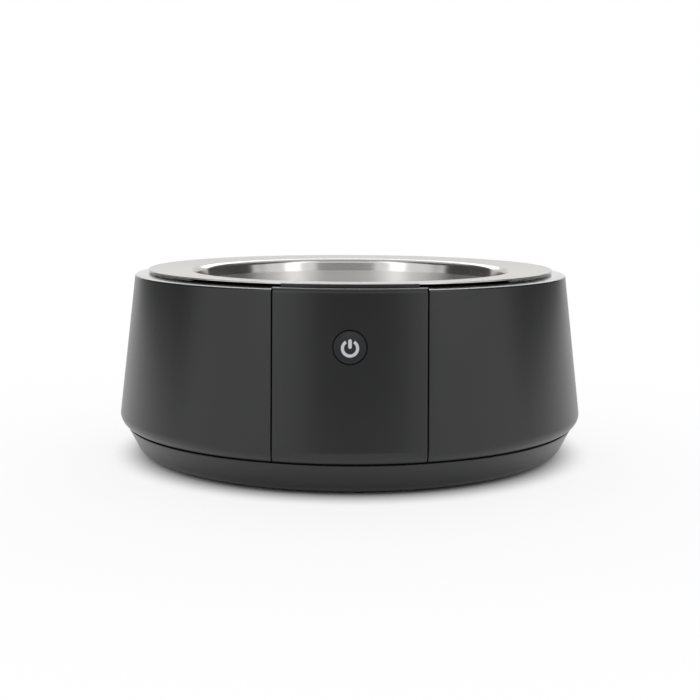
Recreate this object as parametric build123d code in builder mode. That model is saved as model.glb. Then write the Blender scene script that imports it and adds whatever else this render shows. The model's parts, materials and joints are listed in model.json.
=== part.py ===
from build123d import *
import os
from math import atan2, cos, hypot, radians, sqrt, tan

# Weighing pet food bowl in millimetres: a steel bowl that lifts out of a battery-driven plastic housing.
# The origin is the middle of the underside at the level the feet rest on. +Z is up, the panel faces -Y.

# Feet, base tray and the seam above it
foot_height = 1.4
foot_radius = 8.0
foot_inset = 17.8
foot_recess = 0.8
tray_depth = 12.3
tray_wall = 2.4
tray_taper = 6.2
tray_corner_round = 6.0
spigot_inset = 5.0
spigot_height = 4.6
spigot_clear = 0.25
seam_gap = 0.6
seal_width = 2.8
edge_round = 0.4

# Housing shell: wall, top ring and collar
corner_radius = 105.2
corner_rise = 1.8
corner_round = 4.9
seam_inset = 3.2
housing_height = 66.7
wall_slope = 7.0
shell_wall = 2.4
top_round = 0.9
land_width = 5.9
land_rise = 0.75
land_fall = 1.3
collar_lip = 5.0
collar_round = 2.0
collar_gap = 1.0
collar_overlap = 6.0

# Steel bowl
bowl_sheet = 0.8
float_gap = 0.75
flange_slope = 2.5
flange_round = 0.35
basin_radius = 71.0
basin_draft = 11.0
lip_round = 2.5
floor_round = 14.0

# Front panel with its lip
panel_half = 30.1
panel_gap = 0.4
panel_wall = 2.4
panel_proud = 0.75
panel_round = 2.2
lip_gap = 0.5
lip_thickness = 1.2
lip_height_above = 1.4
lip_half = 27.0
lip_end_round = 0.5
ledge_width = 5.0
ledge_wall = 2.4
ledge_gap = 0.1
ledge_margin = 8.0
hook_width = 1.6
hook_height = 6.0
hook_barb = 1.2
hook_grip = 1.4
hook_gap = 0.15
hook_places = (-30.0, -8.0, 14.0)

# Power button and its switch
button_drop = 21.4
button_radius = 6.33
button_clear = 0.5
button_recess = 0.5
button_dish = 0.3
button_rim = 0.6
button_edge = 0.25
button_travel = 0.5
collar_plate_radius = 7.9
collar_plate_clear = 0.6
collar_plate_wall = 1.0
sleeve_clear = 0.3
sleeve_wall = 1.1
icon_radius = 3.5
icon_stroke = 1.2
icon_drop = 0.4
icon_gap_angle = 32.0
icon_bar_width = 1.4
icon_bar_low = -0.55
icon_bar_high = 3.1
icon_depth = 0.5
switch_size = 6.0
switch_depth = 3.4
plunger_radius = 1.75
plunger_clear = 0.08
plunger_engaged = 1.0

# Main board and what it carries
board_depth = 9.0
board_half = 21.0
board_top = 12.0
board_bottom = -32.0
board_wall = 1.6
board_corner = 1.5
post_radius = 2.5
post_inset = 3.0
board_screw_radius = 0.95
board_screw_clear = 0.25
board_screw_head = 1.9
board_screw_head_height = 1.3
board_screw_bite = 4.0
display_width = 34.0
display_tall = 13.0
display_middle = -17.0
display_gap = 0.5
digit_width = 7.0
digit_tall = 9.0
digit_pitch = 9.0
digit_recess = 0.5
buzzer_radius = 3.6
buzzer_height = 3.0
buzzer_place = (14.5, -2.0)
socket_width = 8.0
socket_tall = 5.0
socket_depth = 5.0
socket_spread = 9.0
socket_middle = -27.5
chip_places = ((0.0, -9.0, 10.0), (-10.0, 1.0, 5.0), (10.5, -2.0, 6.0))
chip_height = 1.2

# Load cell and the screws through it
cell_length = 75.0
cell_width = 12.7
cell_boss_height = 4.2
cell_end_inset = 5.5
cell_hole_spacing = 15.0
cell_bore_radius = 4.9
cell_bore_share = 0.084
cell_slot = 4.0
cell_screw_radius = 2.0
cell_screw_clear = 0.05
cell_screw_head = 3.5
cell_screw_head_height = 2.4
cell_screw_bite = 8.0
cell_head_room = 0.4
screw_pass_clear = 0.3
gauge_clear = 1.075
gauge_wall = 1.2

# Cradle that the bowl stands in
platform_post = 9.2
cradle_gap = 0.6
cradle_wall = 2.2
cradle_depth = 14.0
cradle_floor_round = 15.4
pad_radius = 5.0
pad_inset = 35.0
pad_proud = 0.8
pad_recess = 0.6
bowl_rest_gap = 0.3
rib_count = 8
rib_wall = 1.6
rib_height = 5.0
rib_length = 34.0
rib_start = 14.0
splash_seal_wall = 1.2
splash_seal_clear = 0.05

# Tray screws and their bosses
boss_inset = 8.7
boss_radius = 4.2
boss_split = 14.4
tray_screw_radius = 1.5
tray_screw_clear = 0.2
tray_screw_head = 2.7
tray_screw_head_height = 2.2
tray_screw_seat = 3.0
tray_screw_bite = 12.0
web_wall = 1.6

# Battery box, batteries and door
cell_aaa_radius = 5.25
cell_aaa_length = 44.5
cap_radius = 1.9
cap_length = 1.2
battery_count = 3
battery_spacing = 10.9
battery_play = 0.3
box_start = 19.4
box_wall = 2.0
box_end_room = 3.7
box_side_room = 2.4
box_hinge_room = 2.2
contact_wall = 0.4
contact_size = 8.0
contact_dome = 2.2
door_wall = 2.0
door_gap = 0.4
door_knuckle = 1.6
door_pin_radius = 1.0
door_pin_clear = 0.08
door_pin_length = 1.2
door_tongue_width = 9.0
door_tongue_wall = 1.0
door_tongue_height = 4.0
door_tongue_inset = 0.9
door_notch = 5.0

# Cables
load_cable_radius = 1.2
load_cable_lift = 1.2
cable_drop = 11.0
cable_approach = 11.0
cable_end_inset = 7.0
wire_radius = 0.8
wire_spread = 1.5
wire_clear = 0.15
wire_lift = 0.6
wire_berth = 9.0
wire_bend_start = 23.0
wire_approach = 7.0

# Places worked out from the sizes above
tray_bottom = foot_height
tray_top = tray_bottom + tray_depth
housing_bottom = tray_top + seam_gap
corner_height = housing_bottom + corner_rise
housing_top = housing_bottom + housing_height
seam_radius = corner_radius - seam_inset
spigot_radius = seam_radius - spigot_inset
flange_inner = spigot_radius + spigot_clear
foot_circle = seam_radius - tray_taper - foot_inset
lean = radians(wall_slope)
button_height = housing_top - button_drop


def wall_radius(height, inset=0.0):
    """Radius of the housing's cone at a height, moved in by an inset square to the wall."""
    return corner_radius - (height - corner_height) * tan(lean) - inset / cos(lean)


top_radius = wall_radius(housing_top)
boss_circle = top_radius - boss_inset
flange_radius = top_radius - land_width
lip_back = flange_radius + lip_gap
lip_front = lip_back + lip_thickness
slot_back = lip_back - panel_gap
land_crest = housing_top + land_rise
flange_top = land_crest + float_gap + bowl_sheet
basin_lip = flange_top - (flange_radius - basin_radius) * tan(radians(flange_slope))
cell_bottom = tray_bottom + tray_wall + cell_boss_height
cell_hole_far = cell_length / 2 - cell_end_inset
cell_hole_near = cell_hole_far - cell_hole_spacing
cell_bore_offset = cell_length * cell_bore_share
cell_top = cell_bottom + cell_width
cradle_underside = cell_top + platform_post
cradle_floor = cradle_underside + cradle_wall
pad_top = cradle_floor + pad_proud
bowl_underside = pad_top + bowl_rest_gap
basin_floor = bowl_underside + bowl_sheet


def basin_wall_radius(height, outset=0.0):
    """Radius of the bowl's inner wall at a height, moved out by an outset square to the wall."""
    draft = radians(basin_draft)
    return basin_radius - (basin_lip - height) * tan(draft) + outset / cos(draft)


cradle_rim = cradle_floor + cradle_depth
cradle_out = bowl_sheet + cradle_gap + cradle_wall
collar_top_radius = basin_radius + collar_lip + shell_wall / 2
collar_top = land_crest - land_fall
collar_bottom = cradle_rim - collar_overlap
collar_bottom_radius = basin_wall_radius(cradle_rim, cradle_out) + collar_gap

panel_top = housing_top + panel_proud
board_back = board_depth + board_wall
collar_front = panel_wall + collar_plate_clear
collar_back = collar_front + collar_plate_wall
switch_front = board_depth - switch_depth

box_floor = tray_bottom + door_wall
battery_middle = box_floor + battery_play + cell_aaa_radius
box_ceiling = battery_middle + cell_aaa_radius + battery_play
box_half = cell_aaa_length / 2 + box_end_room
first_battery = box_start + box_side_room + cell_aaa_radius
last_battery = first_battery + (battery_count - 1) * battery_spacing
box_end = last_battery + cell_aaa_radius + box_hinge_room
box_middle = (box_start + box_end) / 2
hinge_y = box_end - door_gap - door_knuckle
hinge_z = tray_bottom + door_knuckle
wire_exit_y = box_start + wire_radius + 2 * wire_clear
wire_exit_levels = [box_ceiling - 2 * wire_radius, box_ceiling - 2 * wire_radius - 2 * wire_spread]


def crossing(first, second):
    """Point where the lines through two pairs of points meet."""
    (ax, ay), (bx, by) = first
    (cx, cy), (dx, dy) = second
    turn = (bx - ax) * (dy - cy) - (by - ay) * (dx - cx)
    share = ((cx - ax) * (dy - cy) - (cy - ay) * (dx - cx)) / turn
    return (ax + share * (bx - ax), ay + share * (by - ay))


def beside(run, distance):
    """The same run of points, moved to its left by a distance as it is walked."""
    moved = []
    for (ax, ay), (bx, by) in zip(run, run[1:]):
        length = hypot(bx - ax, by - ay)
        side = (-(by - ay) / length * distance, (bx - ax) / length * distance)
        moved.append(((ax + side[0], ay + side[1]), (bx + side[0], by + side[1])))
    corners = [crossing(first, second) for first, second in zip(moved, moved[1:])]
    return [moved[0][0], *corners, moved[-1][1]]


def section(points, rounds=()):
    """Closed section of (radius, height) points in the XZ plane, with (point, radius) rounds."""
    with BuildSketch(Plane.XZ) as flat:
        with BuildLine():
            Polyline(*points, close=True)
        make_face()
        for point, radius in rounds:
            fillet(flat.vertices().sort_by_distance(point)[0], radius)
    return flat.sketch


def front(depth=0.0):
    """Plane square to the panel at the button, a depth behind its surface, with Y up the panel."""
    middle = (0, -wall_radius(button_height), button_height)
    return Plane(origin=middle, x_dir=(1, 0, 0), z_dir=(0, -cos(lean), tan(lean) * cos(lean))).offset(-depth)


def sag(across, up=0.0):
    """How far the round panel falls back from that plane at a distance to the side."""
    radius = wall_radius(button_height + up * cos(lean))
    return (radius - sqrt(radius**2 - across**2)) * cos(lean)


def radial_plane(angle):
    """Upright plane through the axis: X is the distance from the axis at that angle, Y is the height."""
    return Plane.XZ.rotated((0, 0, angle))


# Steel bowl: wide sloping flange, round lip, drafted wall and a round floor corner
bowl_inside = [
    (flange_radius, flange_top),
    (basin_radius, basin_lip),
    (basin_wall_radius(basin_floor), basin_floor),
    (0, basin_floor),
]
bowl_outside = beside(bowl_inside, bowl_sheet)
bowl_rounds = [
    (bowl_inside[0], flange_round),
    (bowl_outside[0], flange_round),
    (bowl_inside[1], lip_round),
    (bowl_outside[1], lip_round - bowl_sheet),
    (bowl_inside[2], floor_round),
    (bowl_outside[2], floor_round + bowl_sheet),
]
with BuildPart() as steel_bowl:
    revolve(section(bowl_inside + bowl_outside[::-1], bowl_rounds), axis=Axis.Z)

# Room that the front panel takes out of the shell
with BuildPart() as panel_slot:
    with BuildSketch(Plane.XY.offset(housing_bottom - seam_gap)):
        with Locations((0, -corner_radius)):
            Rectangle(2 * (panel_half + panel_gap), corner_radius)
        Circle(slot_back, mode=Mode.SUBTRACT)
    extrude(amount=housing_height + 4 * land_rise)

# Housing shell: bottom edge, sloping wall, top ring and collar in one wall thickness
corner_turn = radians(90 + wall_slope) - atan2(corner_rise, seam_inset)
corner_round_fits = min(corner_round, 0.9 * hypot(corner_rise, seam_inset) / tan(corner_turn / 2))
shell_outside = [
    (flange_inner, housing_bottom),
    (seam_radius, housing_bottom),
    (corner_radius, corner_height),
    (top_radius, housing_top),
    (slot_back, land_crest),
    (collar_top_radius, collar_top),
    (collar_bottom_radius, collar_bottom),
]
shell_inside = beside(shell_outside, shell_wall)
collar_foot = ((0, collar_bottom), (corner_radius, collar_bottom))
shell_inside[-1] = crossing(shell_inside[-2:], collar_foot)
shell_rounds = [
    (shell_outside[2], corner_round_fits),
    (shell_outside[3], top_round),
    (shell_outside[5], collar_round),
]
boss_angles = [45, 135, 225, 315]
ledge_low = corner_height + ledge_margin
ledge_high = housing_top - ledge_margin


def cone_band(outer_inset, inner_inset):
    """Section of a band that follows the wall between two insets, over the ledges' height."""
    return section(
        [
            (wall_radius(ledge_low, outer_inset), ledge_low),
            (wall_radius(ledge_high, outer_inset), ledge_high),
            (wall_radius(ledge_high, inner_inset), ledge_high),
            (wall_radius(ledge_low, inner_inset), ledge_low),
        ]
    )


ledge_middle = (ledge_low + ledge_high) / 2
slot_side = panel_half + panel_gap
with BuildPart() as ledges:
    revolve(cone_band(shell_wall + ledge_gap, shell_wall + ledge_gap + ledge_wall), axis=Axis.Z)
    with Locations((-panel_half, -corner_radius, ledge_middle), (panel_half, -corner_radius, ledge_middle)):
        Box(2 * ledge_width, corner_radius, housing_height, mode=Mode.INTERSECT)
with BuildPart() as ledge_roots:
    revolve(cone_band(shell_wall / 2, shell_wall + ledge_gap + ledge_wall), axis=Axis.Z)
    root_width = ledge_width - panel_gap
    root_middle = slot_side + root_width / 2
    with Locations((-root_middle, -corner_radius, ledge_middle), (root_middle, -corner_radius, ledge_middle)):
        Box(root_width, corner_radius, housing_height, mode=Mode.INTERSECT)

with BuildPart() as housing_shell:
    revolve(section(shell_outside + shell_inside[::-1], shell_rounds), axis=Axis.Z)
    add(panel_slot.part, mode=Mode.SUBTRACT)
    add(ledges.part)
    add(ledge_roots.part)
    boss_roof = land_crest - shell_wall
    with BuildSketch(Plane.XY.offset(boss_split)):
        for angle in boss_angles:
            with PolarLocations(boss_circle, 1, start_angle=angle):
                Circle(boss_radius)
    extrude(amount=boss_roof - boss_split)
    for angle in boss_angles:
        web_low = corner_height + shell_wall
        with BuildSketch(radial_plane(angle)):
            with BuildLine():
                Polyline(
                    (boss_circle + boss_radius / 2, web_low),
                    (wall_radius(web_low, shell_wall / 2), web_low),
                    (wall_radius(boss_roof, shell_wall / 2), boss_roof),
                    (boss_circle + boss_radius / 2, boss_roof),
                    close=True,
                )
            make_face()
        extrude(amount=web_wall / 2, both=True)
    with BuildSketch(Plane.XY.offset(boss_split)):
        for angle in boss_angles:
            with PolarLocations(boss_circle, 1, start_angle=angle):
                Circle(tray_screw_radius)
    extrude(amount=tray_screw_bite, mode=Mode.SUBTRACT)

# Front panel: the wall's own profile between the seams, a ledge on top, the lip, posts and snap hooks
panel_outside = [
    (flange_inner, housing_bottom),
    (seam_radius, housing_bottom),
    (corner_radius, corner_height),
    (wall_radius(panel_top), panel_top),
    (lip_back, panel_top),
]
panel_inside = beside(panel_outside, panel_wall)
panel_rounds = [(panel_outside[2], corner_round_fits), (panel_outside[3], panel_round)]
post_across = board_half - post_inset
post_places = [
    (side * post_across, level)
    for side in (-1, 1)
    for level in (board_bottom + post_inset, board_top - post_inset)
]
hook_leg = panel_half - ledge_width - panel_gap - hook_width / 2
ledge_back = sag(panel_half) + shell_wall + ledge_gap + ledge_wall
with BuildPart() as front_panel:
    revolve(section(panel_outside + panel_inside[::-1], panel_rounds), axis=Axis.Z)
    with Locations((0, -corner_radius, (housing_bottom + panel_top) / 2)):
        Box(2 * panel_half, corner_radius, 2 * housing_height, mode=Mode.INTERSECT)
    with BuildSketch(Plane.XY.offset(panel_top - panel_wall / 2)) as lip_outline:
        Circle(lip_front)
        Circle(lip_back, mode=Mode.SUBTRACT)
        with Locations((0, -corner_radius)):
            Rectangle(2 * lip_half, corner_radius, mode=Mode.INTERSECT)
        fillet(lip_outline.vertices(), lip_end_round)
    extrude(amount=panel_wall / 2 + lip_height_above)
    sleeve_end = collar_back + button_travel
    sleeve_radius = collar_plate_radius + sleeve_clear + sleeve_wall
    with BuildSketch(front(sleeve_end)):
        Circle(sleeve_radius)
    extrude(amount=sleeve_end - panel_wall / 2 - sag(sleeve_radius))
    for across, level in post_places:
        with BuildSketch(front(board_depth)):
            with Locations((across, level)):
                Circle(post_radius)
        extrude(amount=board_depth - panel_wall / 2 - sag(post_across, level))
    for side in (-1, 1):
        for level in hook_places:
            hook_end = ledge_back + hook_gap + hook_grip
            with BuildSketch(front(hook_end)):
                with Locations((side * hook_leg, level)):
                    Rectangle(hook_width, hook_height)
            extrude(amount=hook_end - panel_wall / 2 - sag(hook_leg, level))
            with BuildSketch(front(hook_end)):
                with Locations((side * (hook_leg + hook_barb / 2), level)):
                    Rectangle(hook_width + hook_barb, hook_height)
            extrude(amount=hook_grip)
    with BuildSketch(front(sleeve_end)):
        Circle(collar_plate_radius + sleeve_clear)
    extrude(amount=sleeve_end - panel_wall, mode=Mode.SUBTRACT)
    with BuildSketch(front(panel_wall * 2)):
        Circle(button_radius + button_clear)
    extrude(amount=panel_wall * 3, mode=Mode.SUBTRACT)
    for across, level in post_places:
        with BuildSketch(front(board_depth)):
            with Locations((across, level)):
                Circle(board_screw_radius)
        extrude(amount=board_screw_bite, mode=Mode.SUBTRACT)

# Power button: dished cap in the panel's hole, and a collar behind the panel that keeps it in
dish_width = button_radius - button_rim
dish_sphere = (dish_width**2 + button_dish**2) / (2 * button_dish)
dish_middle = button_recess + button_dish - dish_sphere
icon_floor = button_recess + button_dish + icon_depth


def icon_outline():
    """Power symbol: a ring that is open at the top, and an upright bar with round ends."""
    reach = 2 * icon_radius
    half_open = reach * tan(radians(icon_gap_angle))
    bar_length = icon_bar_high - icon_bar_low
    with BuildSketch(front(icon_floor)) as symbol:
        with Locations((0, -icon_drop)):
            Circle(icon_radius)
            Circle(icon_radius - icon_stroke, mode=Mode.SUBTRACT)
            with BuildLine():
                Polyline((0, 0), (half_open, reach), (-half_open, reach), close=True)
            make_face(mode=Mode.SUBTRACT)
        with Locations((0, (icon_bar_high + icon_bar_low) / 2)):
            SlotOverall(bar_length, icon_bar_width, rotation=90)
    return symbol.sketch


with BuildPart() as button_icon:
    extrude(icon_outline(), amount=icon_floor)
    with Locations(front(dish_middle)):
        Sphere(dish_sphere, mode=Mode.SUBTRACT)

with BuildPart() as power_button:
    with BuildSketch(front(collar_front)):
        Circle(button_radius)
    extrude(amount=collar_front - button_recess)
    chamfer(power_button.faces().sort_by(Axis((0, 0, 0), front().z_dir))[-1].edges(), button_edge)
    with BuildSketch(front(collar_back)):
        Circle(collar_plate_radius)
    extrude(amount=collar_plate_wall)
    with Locations(front(dish_middle)):
        Sphere(dish_sphere, mode=Mode.SUBTRACT)
    extrude(icon_outline(), amount=icon_floor, mode=Mode.SUBTRACT)

# Tactile switch on the board and the plunger that the button presses
with BuildPart() as power_switch:
    with BuildSketch(front(board_depth)):
        RectangleRounded(switch_size, switch_size, edge_round)
    extrude(amount=switch_depth)
    with BuildSketch(front(switch_front)):
        Circle(plunger_radius + plunger_clear)
    extrude(amount=-(plunger_engaged + 2 * button_travel), mode=Mode.SUBTRACT)

with BuildPart() as switch_plunger:
    with BuildSketch(front(switch_front + plunger_engaged)):
        Circle(plunger_radius)
    extrude(amount=switch_front + plunger_engaged - collar_back)

# Main board behind the panel, screwed to the panel's posts
board_middle = (board_top + board_bottom) / 2
with BuildPart() as main_board:
    with BuildSketch(front(board_back)):
        with Locations((0, board_middle)):
            RectangleRounded(2 * board_half, board_top - board_bottom, board_corner)
        with Locations(*post_places):
            Circle(board_screw_radius + board_screw_clear, mode=Mode.SUBTRACT)
    extrude(amount=board_wall)

with BuildPart() as board_screws:
    for across, level in post_places:
        with BuildSketch(front(board_back + board_screw_head_height)):
            with Locations((across, level)):
                Circle(board_screw_head)
        extrude(amount=board_screw_head_height)
        with BuildSketch(front(board_back)):
            with Locations((across, level)):
                Circle(board_screw_radius)
        extrude(amount=board_wall + board_screw_bite - edge_round)
    for across, level in post_places:
        with BuildSketch(front(board_back + board_screw_head_height)):
            with Locations((across, level)):
                Rectangle(board_screw_head, edge_round)
                Rectangle(edge_round, board_screw_head)
        extrude(amount=board_screw_head_height / 2, mode=Mode.SUBTRACT)

with BuildPart() as board_chips:
    for across, level, size in chip_places:
        with BuildSketch(front(board_back + chip_height)):
            with Locations((across, level)):
                RectangleRounded(size, size, edge_round / 2)
        extrude(amount=chip_height)

with BuildPart() as cable_sockets:
    for side in (-1, 1):
        with BuildSketch(front(board_back + socket_depth)):
            with Locations((side * socket_spread, socket_middle)):
                RectangleRounded(socket_width, socket_tall, edge_round)
        extrude(amount=socket_depth)

with BuildPart() as buzzer:
    with BuildSketch(front(board_depth)):
        with Locations(buzzer_place):
            Circle(buzzer_radius)
    extrude(amount=buzzer_height)
    with BuildSketch(front(board_depth - buzzer_height)):
        with Locations(buzzer_place):
            Circle(buzzer_radius / 4)
    extrude(amount=-buzzer_height / 2, mode=Mode.SUBTRACT)

# Display behind the panel: a dark block with three digit windows
display_front = sag(display_width / 2, display_middle) + panel_wall + display_gap
with BuildPart() as display_module:
    with BuildSketch(front(board_depth)):
        with Locations((0, display_middle)):
            RectangleRounded(display_width, display_tall, edge_round)
    extrude(amount=board_depth - display_front)
    with BuildSketch(front(display_front)):
        with Locations((0, display_middle)):
            with GridLocations(digit_pitch, 0, 3, 1):
                Rectangle(digit_width, digit_tall)
    extrude(amount=-digit_recess, mode=Mode.SUBTRACT)

# Base tray: sloping dish with a ledge for the seal, a spigot, the bosses and the battery box
tray_outside = [
    (0, tray_bottom),
    (seam_radius - tray_taper, tray_bottom),
    (seam_radius, tray_top),
    (spigot_radius, tray_top),
    (spigot_radius, tray_top + spigot_height),
]
tray_inside = beside(tray_outside, tray_wall)
tray_rounds = [
    (tray_outside[1], tray_corner_round),
    (tray_inside[1], tray_corner_round - tray_wall),
    (tray_outside[2], edge_round),
]
cell_boss_middle = (cell_hole_near + cell_hole_far) / 2
cell_boss_length = cell_length / 2 - cell_hole_near + cell_width / 2
gauge_length = 2 * (cell_boss_middle - cell_boss_length / 2 - gauge_clear)
box_size = (2 * box_half, box_end - box_start)
with BuildPart() as base_tray:
    revolve(section(tray_outside + tray_inside[::-1], tray_rounds), axis=Axis.Z)
    with BuildSketch(Plane.XY.offset(tray_bottom)):
        for angle in boss_angles:
            with PolarLocations(boss_circle, 1, start_angle=angle):
                Circle(boss_radius)
    extrude(amount=boss_split - tray_bottom)
    with BuildSketch(Plane.XY.offset(tray_bottom)):
        with Locations((cell_boss_middle, 0)):
            RectangleRounded(cell_boss_length, cell_width + 2 * tray_wall, tray_wall)
    extrude(amount=cell_bottom - tray_bottom)
    with BuildSketch(Plane.XY.offset(tray_bottom)):
        with Locations((0, box_middle)):
            RectangleRounded(box_size[0] + 2 * box_wall, box_size[1] + 2 * box_wall, box_wall / 2)
    extrude(amount=box_ceiling + box_wall - tray_bottom)
    with BuildSketch(Plane.XY.offset(tray_bottom)):
        with Locations((0, box_middle)):
            Rectangle(*box_size)
    extrude(amount=box_ceiling - tray_bottom, mode=Mode.SUBTRACT)
    with BuildSketch(Plane.XY.offset(tray_bottom)):
        with PolarLocations(foot_circle, 4):
            Circle(foot_radius + edge_round / 2)
    extrude(amount=foot_recess, mode=Mode.SUBTRACT)
    with BuildSketch(Plane.XY.offset(tray_bottom)):
        for angle in boss_angles:
            with PolarLocations(boss_circle, 1, start_angle=angle):
                Circle(tray_screw_head + tray_screw_clear)
    extrude(amount=boss_split - tray_bottom - tray_screw_seat, mode=Mode.SUBTRACT)
    with BuildSketch(Plane.XY.offset(tray_bottom)):
        for angle in boss_angles:
            with PolarLocations(boss_circle, 1, start_angle=angle):
                Circle(tray_screw_radius + tray_screw_clear)
    extrude(amount=boss_split - tray_bottom, mode=Mode.SUBTRACT)
    with BuildSketch(Plane.XY.offset(tray_bottom)):
        with Locations((cell_hole_near, 0), (cell_hole_far, 0)):
            Circle(cell_screw_head + cell_head_room)
    extrude(amount=cell_screw_head_height + cell_head_room, mode=Mode.SUBTRACT)
    with BuildSketch(Plane.XY.offset(tray_bottom)):
        with Locations((cell_hole_near, 0), (cell_hole_far, 0)):
            Circle(cell_screw_radius + screw_pass_clear)
    extrude(amount=cell_bottom - tray_bottom, mode=Mode.SUBTRACT)
    with BuildSketch(Plane.YZ.offset(-box_half - door_pin_length - door_gap)):
        with Locations((hinge_y, hinge_z)):
            Circle(door_pin_radius + door_pin_clear)
    extrude(amount=2 * (box_half + door_pin_length + door_gap), mode=Mode.SUBTRACT)
    with BuildSketch(Plane.YZ.offset(box_half - edge_round)):
        with Locations(*[(wire_exit_y, level) for level in wire_exit_levels]):
            Circle(wire_radius + wire_clear)
    extrude(amount=2 * box_wall, mode=Mode.SUBTRACT)

# Flat rubber ring in the seam between tray and housing
with BuildPart() as tray_seal:
    with BuildSketch(Plane.XY.offset(tray_top)):
        Circle(flange_inner + seal_width)
        Circle(flange_inner, mode=Mode.SUBTRACT)
    extrude(amount=seam_gap)

# Four rubber feet in their recesses
with BuildPart() as rubber_feet:
    with BuildSketch(Plane.XY):
        with PolarLocations(foot_circle, 4):
            Circle(foot_radius)
    extrude(amount=tray_bottom + foot_recess)
    chamfer(rubber_feet.edges().group_by(Axis.Z)[0], edge_round)

# Four long screws from below
with BuildPart() as tray_screws:
    head_top = boss_split - tray_screw_seat
    for angle in boss_angles:
        with BuildSketch(Plane.XY.offset(head_top - tray_screw_head_height)):
            with PolarLocations(boss_circle, 1, start_angle=angle):
                Circle(tray_screw_head)
        extrude(amount=tray_screw_head_height)
        with BuildSketch(Plane.XY.offset(head_top)):
            with PolarLocations(boss_circle, 1, start_angle=angle):
                Circle(tray_screw_radius - splash_seal_clear)
        extrude(amount=tray_screw_seat + tray_screw_bite - edge_round)
    with BuildSketch(Plane.XY.offset(head_top - tray_screw_head_height)):
        for angle in boss_angles:
            with PolarLocations(boss_circle, 1, start_angle=angle):
                Rectangle(tray_screw_head, edge_round * 1.5)
                Rectangle(edge_round * 1.5, tray_screw_head)
    extrude(amount=tray_screw_head_height / 2, mode=Mode.SUBTRACT)

# Load cell: aluminium bar with two joined cross bores and four upright holes
with BuildPart() as load_cell:
    with Locations((0, 0, cell_bottom + cell_width / 2)):
        Box(cell_length, cell_width, cell_width)
    with BuildSketch(Plane.XZ.offset(-cell_width)):
        with Locations((0, cell_bottom + cell_width / 2)):
            with GridLocations(2 * cell_bore_offset, 0, 2, 1):
                Circle(cell_bore_radius)
            Rectangle(2 * cell_bore_offset, cell_slot)
    extrude(amount=2 * cell_width, mode=Mode.SUBTRACT)
    with BuildSketch(Plane.XY.offset(cell_bottom)):
        for side in (-1, 1):
            with Locations((side * cell_hole_near, 0), (side * cell_hole_far, 0)):
                Circle(cell_screw_radius + cell_screw_clear)
    extrude(amount=cell_width, mode=Mode.SUBTRACT)

# White potting over the strain gauges, on the bar's top and underside
with BuildPart() as gauge_covers:
    for level in (cell_top, cell_bottom - gauge_wall):
        with BuildSketch(Plane.XY.offset(level)):
            RectangleRounded(gauge_length, cell_width - 2 * edge_round, 2 * edge_round)
        extrude(amount=gauge_wall)

# Two screws from below into the bar's fixed end
with BuildPart() as load_cell_screws:
    seat = tray_bottom + cell_screw_head_height + cell_head_room
    with BuildSketch(Plane.XY.offset(seat - cell_screw_head_height)):
        with Locations((cell_hole_near, 0), (cell_hole_far, 0)):
            Circle(cell_screw_head)
    extrude(amount=cell_screw_head_height)
    with BuildSketch(Plane.XY.offset(seat)):
        with Locations((cell_hole_near, 0), (cell_hole_far, 0)):
            Circle(cell_screw_radius)
    extrude(amount=cell_bottom - seat + cell_screw_bite)
    with BuildSketch(Plane.XY.offset(seat - cell_screw_head_height)):
        with Locations((cell_hole_near, 0), (cell_hole_far, 0)):
            RegularPolygon(cell_screw_radius, 6)
    extrude(amount=cell_screw_head_height / 2, mode=Mode.SUBTRACT)

# Cradle on the bar's free end: a dish that follows the bowl, with ribs and a boss below
cradle_inside = [
    (0, cradle_floor),
    (basin_wall_radius(cradle_floor, bowl_sheet + cradle_gap), cradle_floor),
    (basin_wall_radius(cradle_rim, bowl_sheet + cradle_gap), cradle_rim),
]
cradle_outside = beside(cradle_inside, -cradle_wall)
cradle_rounds = [
    (cradle_inside[1], cradle_floor_round),
    (cradle_outside[1], cradle_floor_round + cradle_wall),
    (cradle_inside[2], 2 * edge_round),
    (cradle_outside[2], 2 * edge_round),
]
screw_seat = cradle_floor - cell_screw_head_height - cell_head_room
with BuildPart() as weighing_platform:
    revolve(section(cradle_inside + cradle_outside[::-1], cradle_rounds), axis=Axis.Z)
    with BuildSketch(Plane.XY.offset(cradle_underside - rib_height)):
        with PolarLocations(rib_start + rib_length / 2, rib_count):
            Rectangle(rib_length, rib_wall)
        Circle(rib_start + rib_wall)
        Circle(rib_start, mode=Mode.SUBTRACT)
    extrude(amount=rib_height + cradle_wall / 2)
    with BuildSketch(Plane.XY.offset(cell_top)):
        with Locations((-cell_boss_middle, 0)):
            RectangleRounded(cell_boss_length, cell_width + 2 * tray_wall, tray_wall)
    extrude(amount=cradle_underside + cradle_wall / 2 - cell_top)
    with BuildSketch(Plane.XY.offset(screw_seat)):
        with Locations((-cell_hole_near, 0), (-cell_hole_far, 0)):
            Circle(cell_screw_head + cell_head_room)
    extrude(amount=cradle_wall * 2, mode=Mode.SUBTRACT)
    with BuildSketch(Plane.XY.offset(cell_top)):
        with Locations((-cell_hole_near, 0), (-cell_hole_far, 0)):
            Circle(cell_screw_radius + screw_pass_clear)
    extrude(amount=cradle_floor - cell_top, mode=Mode.SUBTRACT)
    with BuildSketch(Plane.XY.offset(cradle_floor - pad_recess)):
        with PolarLocations(basin_radius - pad_inset, 4, start_angle=45):
            Circle(pad_radius + edge_round / 2)
    extrude(amount=cradle_wall, mode=Mode.SUBTRACT)

# Four silicone pads that the bowl stands on
with BuildPart() as platform_pads:
    with BuildSketch(Plane.XY.offset(cradle_floor - pad_recess)):
        with PolarLocations(basin_radius - pad_inset, 4, start_angle=45):
            Circle(pad_radius)
    extrude(amount=pad_recess + pad_proud)
    chamfer(platform_pads.edges().group_by(Axis.Z)[-1], edge_round / 2)

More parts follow.
